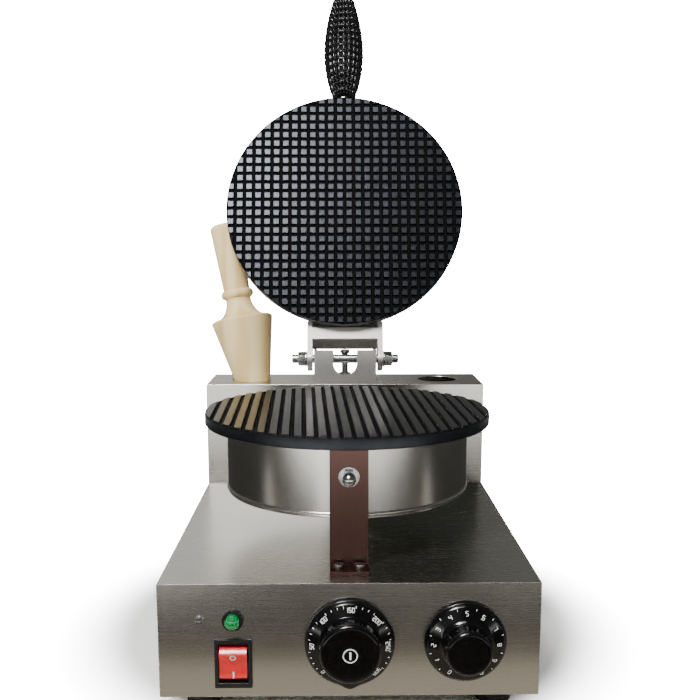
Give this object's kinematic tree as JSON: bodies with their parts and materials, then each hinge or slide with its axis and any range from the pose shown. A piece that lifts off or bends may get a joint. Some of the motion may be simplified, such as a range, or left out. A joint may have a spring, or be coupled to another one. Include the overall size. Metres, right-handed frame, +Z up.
{
  "type": "waffle cone maker",
  "caption": "Hinged pair of round baking plates on a sheet steel stand, with a rear column that holds a wooden cone former.",
  "frame": {"origin": "table level under the middle of the case", "axes": "+X to the right, +Y to the back, +Z up; the control panel faces -Y"},
  "size_m": [0.2506, 0.4049, 0.543],
  "materials": {
    "stainless": "brushed",
    "hardware": "satin",
    "cast_plate": "non-stick coated casting",
    "heater": "heat stained",
    "insulation": "fibre board",
    "rubber": "matte",
    "lead": "woven sleeve",
    "capillary": "drawn copper alloy",
    "control_body": "moulded",
    "black_plastic": "moulded",
    "knob_black": "polished phenolic",
    "knob_cap": "satin",
    "rocker_red": "moulded",
    "lamp_green": "tinted clear",
    "terminal": "moulded",
    "brass": "turned",
    "grip_black": "phenolic",
    "wood": "pale maple, smooth"
  },
  "bodies": {
    "stand": {"case_shell": "stainless", "case_floor": "stainless", "floor_screws": "hardware", "feet": "rubber", "foot_bolts": "hardware", "column_shell": "stainless", "column_back": "stainless", "column_screws": "hardware", "hinge_bracket": "stainless", "bracket_screws": "hardware", "hinge_pin": "hardware", "pin_nuts": "hardware", "pin_washers": "hardware", "stop_screw": "hardware", "stop_nut": "hardware", "drum_shell": "stainless", "drum_pan": "stainless", "lower_plate": "cast_plate", "lower_heater": "heater", "lower_insulation": "insulation", "lower_clamp": "stainless", "clamp_nuts": "hardware", "front_bracket": "stainless", "rear_bracket": "stainless", "drum_nuts": "hardware", "drum_washers": "hardware", "bracket_bolts": "hardware", "lead_tube": "hardware", "lower_leads": "lead", "thermostat_body": "control_body", "thermostat_bulb": "capillary", "timer_body": "control_body", "switch_housing": "black_plastic", "lamp_holder": "black_plastic", "lamp_lens": "lamp_green", "terminal_block": "terminal", "earth_stud": "brass", "cable_gland": "black_plastic", "gland_nut": "black_plastic", "case_leads": "lead", "panel_screw": "hardware"},
    "lid": {"upper_plate": "cast_plate", "upper_heater": "heater", "upper_insulation": "insulation", "upper_cover": "stainless", "hinge_arm": "stainless", "arm_screws": "hardware", "lead_gland": "black_plastic", "handle_rod": "hardware", "handle_ferrule": "hardware", "handle_grip": "grip_black"},
    "rocker_body": {"rocker": "rocker_red"},
    "thermostat_dial": {"thermostat_knob": "knob_black", "thermostat_cap": "knob_cap", "thermostat_shaft": "brass"},
    "timer_dial": {"timer_knob": "knob_black", "timer_shaft": "brass"},
    "former": {"cone_former": "wood"}
  },
  "joints": [
    {"name": "lid_hinge", "type": "hinge", "parent": "stand", "child": "lid", "pos_m": [0, 0.1005, 0.2052], "axis": [1, 0, 0], "range_deg": [0, 108]},
    {"name": "rocker_tilt", "type": "hinge", "parent": "stand", "child": "rocker_body", "pos_m": [-0.076, -0.1525, 0.038], "axis": [1, 0, 0], "range_deg": [-16, 0]},
    {"name": "thermostat_turn", "type": "hinge", "parent": "stand", "child": "thermostat_dial", "pos_m": [0, -0.1585, 0.0525], "axis": [0, 1, 0], "range_deg": [0, 270]},
    {"name": "timer_turn", "type": "hinge", "parent": "stand", "child": "timer_dial", "pos_m": [0.0755, -0.1585, 0.0525], "axis": [0, 1, 0], "range_deg": [0, 300]},
    {"name": "former_lift", "type": "slide", "parent": "stand", "child": "former", "axis": [-0.3687, 0.1774, 0.9125], "range_m": [0, 0.12]}
  ]
}
